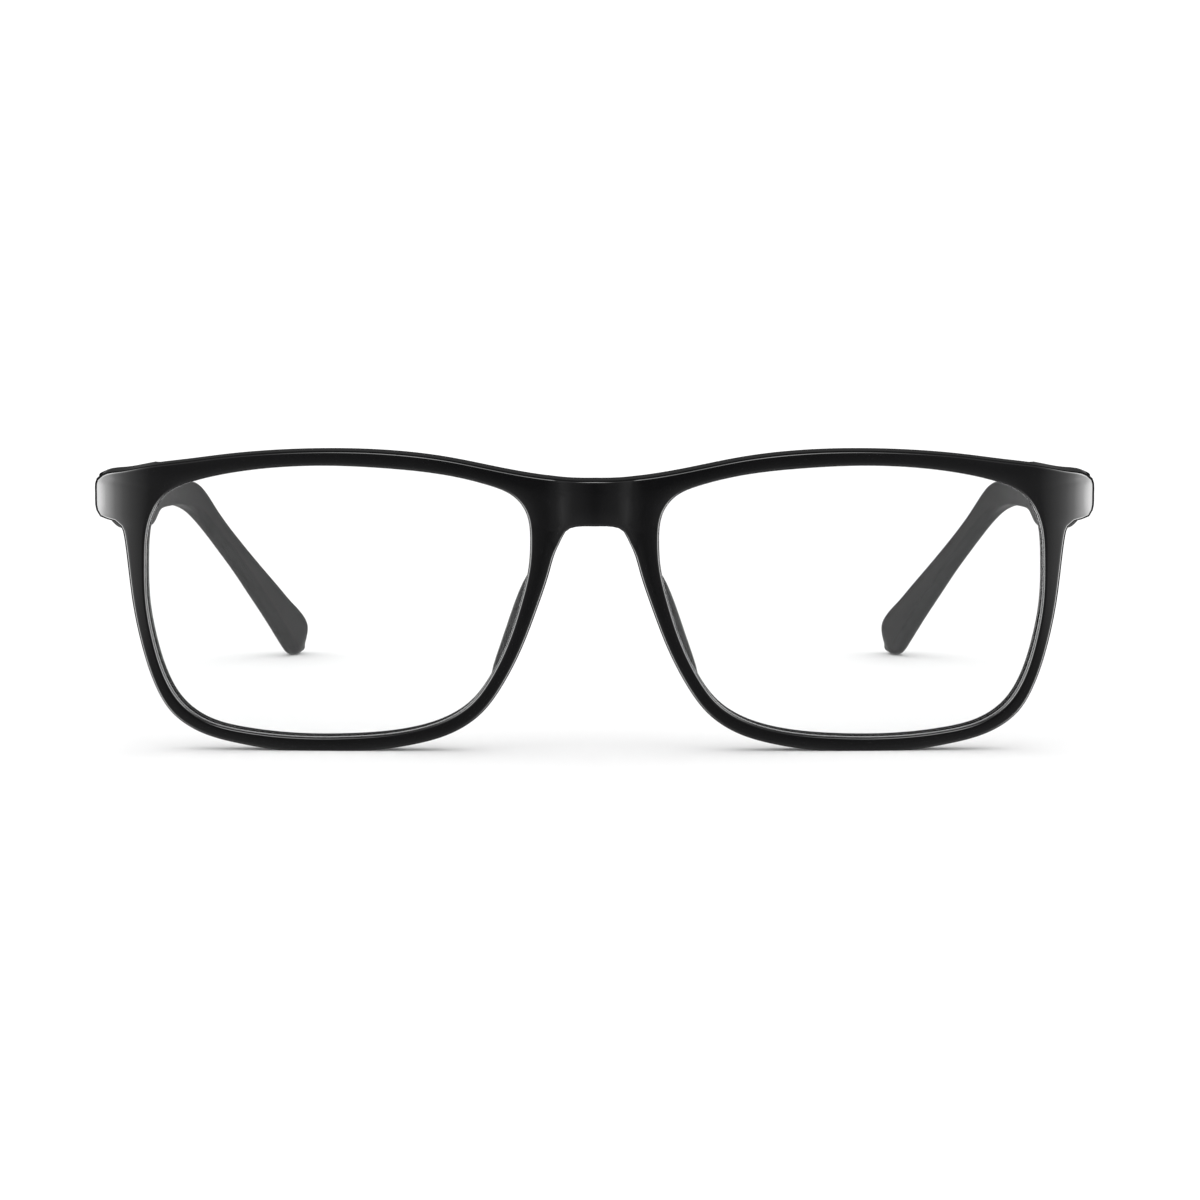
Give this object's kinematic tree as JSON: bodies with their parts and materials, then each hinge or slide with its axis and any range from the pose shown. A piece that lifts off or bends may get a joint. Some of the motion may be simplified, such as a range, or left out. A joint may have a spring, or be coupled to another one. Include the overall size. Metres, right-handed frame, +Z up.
{
  "type": "eyeglasses frame",
  "caption": "Full-rim plastic eyeglasses: one-piece rectangular front with bridge and end pieces, clear lenses, nose pads, barrel hinges and folding temples with a downward ear bend.",
  "frame": {"origin": "middle of the underside of the outer box, on the surface that the rims and the temple tips stand on, with the temples open", "axes": "+X towards the wearer's left, +Y from the front back along the temples, +Z up"},
  "size_m": [0.14, 0.1374, 0.0426],
  "materials": {
    "front_acetate": "polished cellulose acetate, black",
    "temple_acetate": "cellulose acetate, black, satin from tumbling",
    "pad_acetate": "polished acetate, black, cemented to the rim",
    "lens_clear": "clear uncoated demonstration lens, really plastic",
    "hinge_metal": "nickel silver, machined and tumbled",
    "screw_steel": "stainless steel, slotted",
    "core_wire": "drawn nickel silver wire, hidden inside the temple"
  },
  "bodies": {
    "front": {"front_frame": "front_acetate", "lens_right": "lens_clear", "lens_left": "lens_clear", "nose_pad_right": "pad_acetate", "nose_pad_left": "pad_acetate", "front_hinge_leaf_right": "hinge_metal", "front_leaf_screw_upper_right": "screw_steel", "front_leaf_screw_lower_right": "screw_steel", "hinge_screw_right": "screw_steel", "front_hinge_leaf_left": "hinge_metal", "front_leaf_screw_upper_left": "screw_steel", "front_leaf_screw_lower_left": "screw_steel", "hinge_screw_left": "screw_steel"},
    "temple_right": {"temple_right": "temple_acetate", "core_wire_right": "core_wire", "temple_hinge_leaf_right": "hinge_metal", "temple_leaf_screw_upper_right": "screw_steel", "temple_leaf_screw_lower_right": "screw_steel"},
    "temple_left": {"temple_left": "temple_acetate", "core_wire_left": "core_wire", "temple_hinge_leaf_left": "hinge_metal", "temple_leaf_screw_upper_left": "screw_steel", "temple_leaf_screw_lower_left": "screw_steel"}
  },
  "joints": [
    {"name": "temple_right_fold", "type": "hinge", "parent": "front", "child": "temple_right", "pos_m": [-0.0643, -0.05665, 0.03604], "axis": [0, 0, -1], "range_deg": [0, 84.5]},
    {"name": "temple_left_fold", "type": "hinge", "parent": "front", "child": "temple_left", "pos_m": [0.0643, -0.05665, 0.03604], "axis": [0, 0, 1], "range_deg": [0, 79]}
  ]
}
